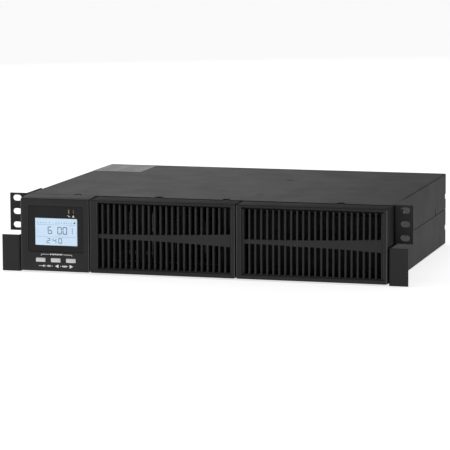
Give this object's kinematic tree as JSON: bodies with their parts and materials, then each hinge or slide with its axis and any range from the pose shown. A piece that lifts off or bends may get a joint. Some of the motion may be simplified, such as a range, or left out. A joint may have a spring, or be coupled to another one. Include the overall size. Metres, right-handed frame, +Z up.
{
  "type": "uninterruptible power supply",
  "caption": "Two-unit rack-mounted uninterruptible power supply with a slotted front, a display module with keys, slotted mounting ears, pull tabs and a sliding battery tray.",
  "frame": {"origin": "centre of the overall footprint, on the surface that the base rests on", "axes": "+X to the right of someone facing the front, +Y towards the rear panel, +Z up; the mounting ears' front faces lie in the plane y = -0.140"},
  "size_m": [0.483, 0.34, 0.0884],
  "materials": {
    "black_paint": "fine texture satin powder coat on steel sheet",
    "bezel_plastic": "fine grained moulded plastic, satin",
    "rear_plastic": "matte moulded plastic",
    "window_lens": "smooth screen-printed black lens",
    "lcd_face": "backlit pale blue liquid crystal display",
    "grey_keys": "light grey matte key caps",
    "green_light": "unlit yellow-green light pipe",
    "red_light": "unlit dull red light pipe",
    "zinc_steel": "zinc plated steel",
    "black_screws": "black oxide steel",
    "circuit_board": "green solder mask",
    "aluminium_fins": "extruded, mill finish",
    "capacitor_sleeve": "shrunk dark blue sleeve",
    "copper_winding": "enamelled copper wire",
    "ferrite_core": "matt sintered ferrite",
    "battery_case": "moulded dark grey case",
    "grey_connector": "grey moulded connector",
    "green_terminal": "green moulded terminal block"
  },
  "bodies": {
    "chassis": {"base_chassis": "black_paint", "top_cover": "black_paint", "front_frame": "black_paint", "rear_panel": "black_paint", "bay_wall": "zinc_steel", "battery_socket": "grey_connector", "rack_bracket_left": "black_paint", "rack_bracket_right": "black_paint", "bracket_screw_left_upper": "black_screws", "bracket_screw_left_lower": "black_screws", "bracket_screw_right_upper": "black_screws", "bracket_screw_right_lower": "black_screws", "main_board": "circuit_board", "heat_sink_left": "aluminium_fins", "heat_sink_right": "aluminium_fins", "bus_capacitor_1": "capacitor_sleeve", "bus_capacitor_2": "capacitor_sleeve", "bus_capacitor_3": "capacitor_sleeve", "bus_capacitor_4": "capacitor_sleeve", "inductor_boost": "copper_winding", "inductor_output": "copper_winding", "transformer": "ferrite_core", "relay_input": "battery_case", "relay_bypass": "battery_case", "fan_frame": "rear_plastic", "fan_guard": "zinc_steel", "outlet_block_left": "rear_plastic", "outlet_block_right": "rear_plastic", "mains_inlet": "rear_plastic", "breaker_body": "rear_plastic", "comm_board": "circuit_board", "usb_socket": "zinc_steel", "serial_socket": "zinc_steel", "surge_sockets": "rear_plastic", "epo_connector": "green_terminal", "card_slot_cover": "black_paint", "card_screw_left": "zinc_steel", "card_screw_right": "zinc_steel"},
    "display_module": {"display_housing": "bezel_plastic", "display_window": "window_lens", "lcd_panel": "lcd_face", "led_normal": "green_light", "led_fault": "red_light", "display_board": "circuit_board"},
    "button_left": {"button_left": "grey_keys"},
    "button_middle": {"button_middle": "grey_keys"},
    "button_right": {"button_right": "grey_keys"},
    "middle_bezel": {"bezel_middle": "bezel_plastic", "grille_middle": "bezel_plastic"},
    "right_bezel": {"bezel_right": "bezel_plastic", "grille_right": "bezel_plastic"},
    "battery_pack": {"battery_tray": "black_paint", "tray_handle": "zinc_steel", "battery_front": "battery_case", "battery_rear": "battery_case", "battery_plug": "grey_connector"},
    "fan_rotor": {"fan_rotor": "rear_plastic"},
    "breaker_button": {"breaker_button": "grey_connector"}
  },
  "joints": [
    {"name": "display_module_pull", "type": "slide", "parent": "chassis", "child": "display_module", "axis": [0, -1, 0], "range_m": [0, 0.05]},
    {"name": "button_left_press", "type": "slide", "parent": "display_module", "child": "button_left", "axis": [0, 1, 0], "range_m": [0, 0.0008], "stiffness_N_per_m": 600},
    {"name": "button_middle_press", "type": "slide", "parent": "display_module", "child": "button_middle", "axis": [0, 1, 0], "range_m": [0, 0.0008], "stiffness_N_per_m": 600},
    {"name": "button_right_press", "type": "slide", "parent": "display_module", "child": "button_right", "axis": [0, 1, 0], "range_m": [0, 0.0008], "stiffness_N_per_m": 600},
    {"name": "middle_bezel_pull", "type": "slide", "parent": "chassis", "child": "middle_bezel", "axis": [0, -1, 0], "range_m": [0, 0.05]},
    {"name": "battery_tray_pull", "type": "slide", "parent": "chassis", "child": "battery_pack", "axis": [0, -1, 0], "range_m": [0, 0.222]},
    {"name": "right_bezel_pull", "type": "slide", "parent": "chassis", "child": "right_bezel", "axis": [0, -1, 0], "range_m": [0, 0.2775]},
    {"name": "fan_spin", "type": "hinge", "parent": "chassis", "child": "fan_rotor", "pos_m": [-0.166, 0.1522, 0.044], "axis": [0, 1, 0], "continuous": true},
    {"name": "breaker_trip", "type": "slide", "parent": "chassis", "child": "breaker_button", "axis": [0, 1, 0], "range_m": [0, 0.004]}
  ],
  "couplings": [
    {"joint": "right_bezel_pull", "follows": "battery_tray_pull", "ratio": 1.25}
  ]
}
